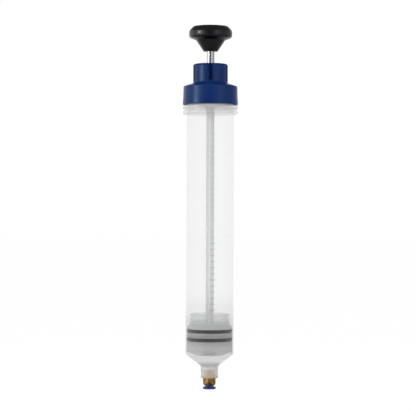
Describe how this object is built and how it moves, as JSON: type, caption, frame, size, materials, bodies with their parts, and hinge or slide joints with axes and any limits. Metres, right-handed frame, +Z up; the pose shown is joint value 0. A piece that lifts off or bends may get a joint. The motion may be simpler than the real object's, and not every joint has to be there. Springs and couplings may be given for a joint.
{
  "type": "hand fluid transfer syringe pump",
  "caption": "Hand-operated fluid syringe pump: clear barrel, ringed piston on a knobbed rod, screw cap that guides the rod, and a brass push-in hose fitting.",
  "frame": {"origin": "centre of the hose port's mouth, on the collet's outer face", "axes": "+Z up along the barrel from the hose port to the knob, -Y towards the front flute of the cap, +X to the right seen from the front"},
  "size_m": [0.09, 0.09, 0.5904],
  "materials": {
    "barrel_plastic": "satin",
    "cap_plastic": "satin",
    "ring_rubber": "matte",
    "bush_plastic": "matte",
    "piston_plastic": "matte",
    "plated_steel": "satin",
    "rod_chrome": "polished",
    "knob_plastic": "satin",
    "fitting_brass": "satin",
    "spring_steel": "satin",
    "collet_plastic": "satin"
  },
  "bodies": {
    "barrel": {"barrel": "barrel_plastic", "fitting_body": "fitting_brass", "fitting_washer": "piston_plastic", "collet_cartridge": "fitting_brass", "grab_ring": "spring_steel", "hose_spacer": "bush_plastic", "hose_seal": "ring_rubber"},
    "collet": {"collet": "collet_plastic"},
    "cap_seat": {"cap_gasket": "ring_rubber"},
    "cap": {"cap": "cap_plastic", "rod_bush": "bush_plastic", "rod_wiper": "ring_rubber"},
    "piston": {"piston_body": "piston_plastic", "piston_ring_lower": "ring_rubber", "piston_ring_upper": "ring_rubber", "piston_plug": "piston_plastic"},
    "rod": {"rod_tube": "rod_chrome", "rod_end_stud": "plated_steel", "rod_top_stud": "plated_steel", "rod_washer": "plated_steel", "rod_thrust_washer": "bush_plastic", "rod_nut": "plated_steel", "knob": "knob_plastic", "knob_insert": "fitting_brass"}
  },
  "joints": [
    {"name": "plunger_slide", "type": "slide", "parent": "barrel", "child": "piston", "axis": [0, 0, 1], "range_m": [-0.0038, 0.366]},
    {"name": "rod_spin", "type": "hinge", "parent": "piston", "child": "rod", "pos_m": [0, 0, 0.075], "axis": [0, 0, 1], "continuous": true},
    {"name": "cap_lift", "type": "slide", "parent": "barrel", "child": "cap_seat", "axis": [0, 0, 1], "range_m": [0, 0.015]},
    {"name": "cap_turn", "type": "hinge", "parent": "cap_seat", "child": "cap", "pos_m": [0, 0, 0.475], "axis": [0, 0, 1], "range_deg": [0, 900]},
    {"name": "collet_press", "type": "slide", "parent": "barrel", "child": "collet", "axis": [0, 0, 1], "range_m": [0, 0.0012], "stiffness_N_per_m": 400}
  ],
  "couplings": [
    {"joint": "cap_lift", "follows": "cap_turn", "m_per_rad": 0.00095493}
  ]
}
